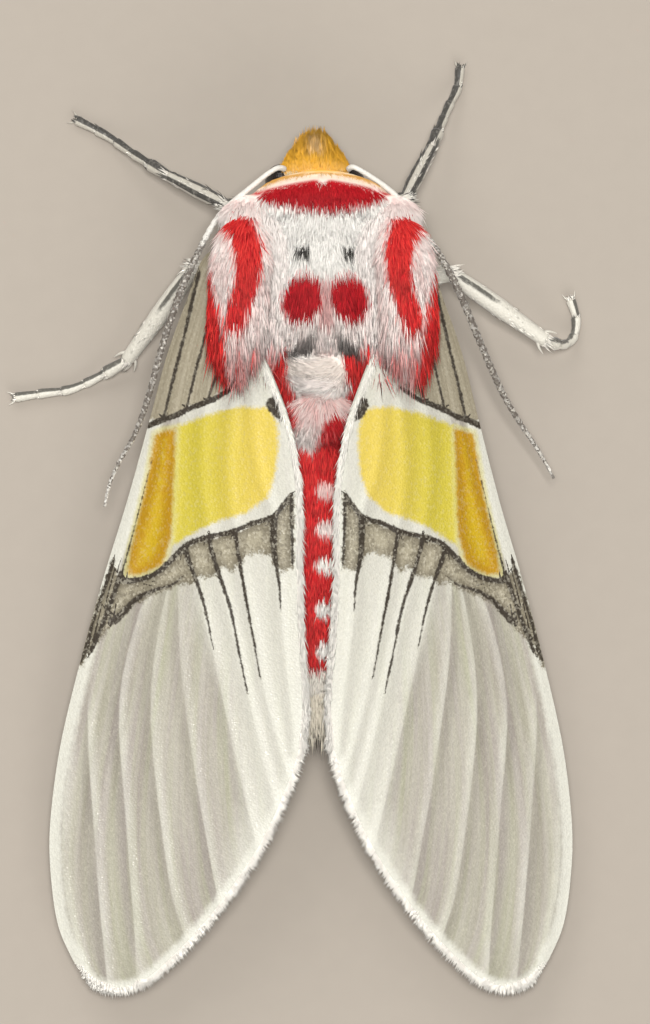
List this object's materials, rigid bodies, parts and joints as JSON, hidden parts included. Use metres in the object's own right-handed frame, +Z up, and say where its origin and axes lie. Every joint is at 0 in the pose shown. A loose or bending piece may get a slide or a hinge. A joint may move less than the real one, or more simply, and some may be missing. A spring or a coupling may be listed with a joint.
{
  "type": "tiger moth",
  "caption": "Life-size still model of a resting tiger moth: patterned wings held like a low roof, furry red and white body, orange head tuft, swept feelers and spread legs",
  "frame": {"origin": "on the floor, under the middle of the moth's bounding box", "axes": "+Z up, -Y towards the head, +X towards the moth's left side"},
  "size_m": [0.016, 0.0254, 0.0058],
  "materials": {
    "head_hair": "orange-yellow hair-like scales, matt with a soft sheen",
    "red_hair": "crimson hair-like scales, matt with a soft sheen",
    "white_hair": "white hair-like scales with red spots and small black dots",
    "eye": "dark glossy compound eye",
    "antenna": "fine grey-brown scales, white towards the base",
    "forewing": "satin pale grey-green scales with a yellow patch, grey-brown bands and dark vein streaks",
    "hindwing": "satin off-white scales",
    "dark_leg": "dark grey scales with white stripes",
    "pale_leg": "cream-white scales with a grey stripe"
  },
  "bodies": {
    "root": {"head": "head_hair", "eye_left": "eye", "eye_right": "eye", "palp_left": "head_hair", "palp_right": "head_hair", "antenna_left": "antenna", "antenna_right": "antenna", "collar": "red_hair", "thorax": "white_hair", "tegula_left": "red_hair", "tegula_right": "red_hair", "abdomen": "red_hair", "forewing_left": "forewing", "forewing_right": "forewing", "hindwing_left": "hindwing", "hindwing_right": "hindwing", "foreleg_left": "dark_leg", "foreleg_right": "dark_leg", "midleg_left": "pale_leg", "midleg_right": "pale_leg", "hindleg_left": "pale_leg", "hindleg_right": "pale_leg"}
  },
  "joints": []
}
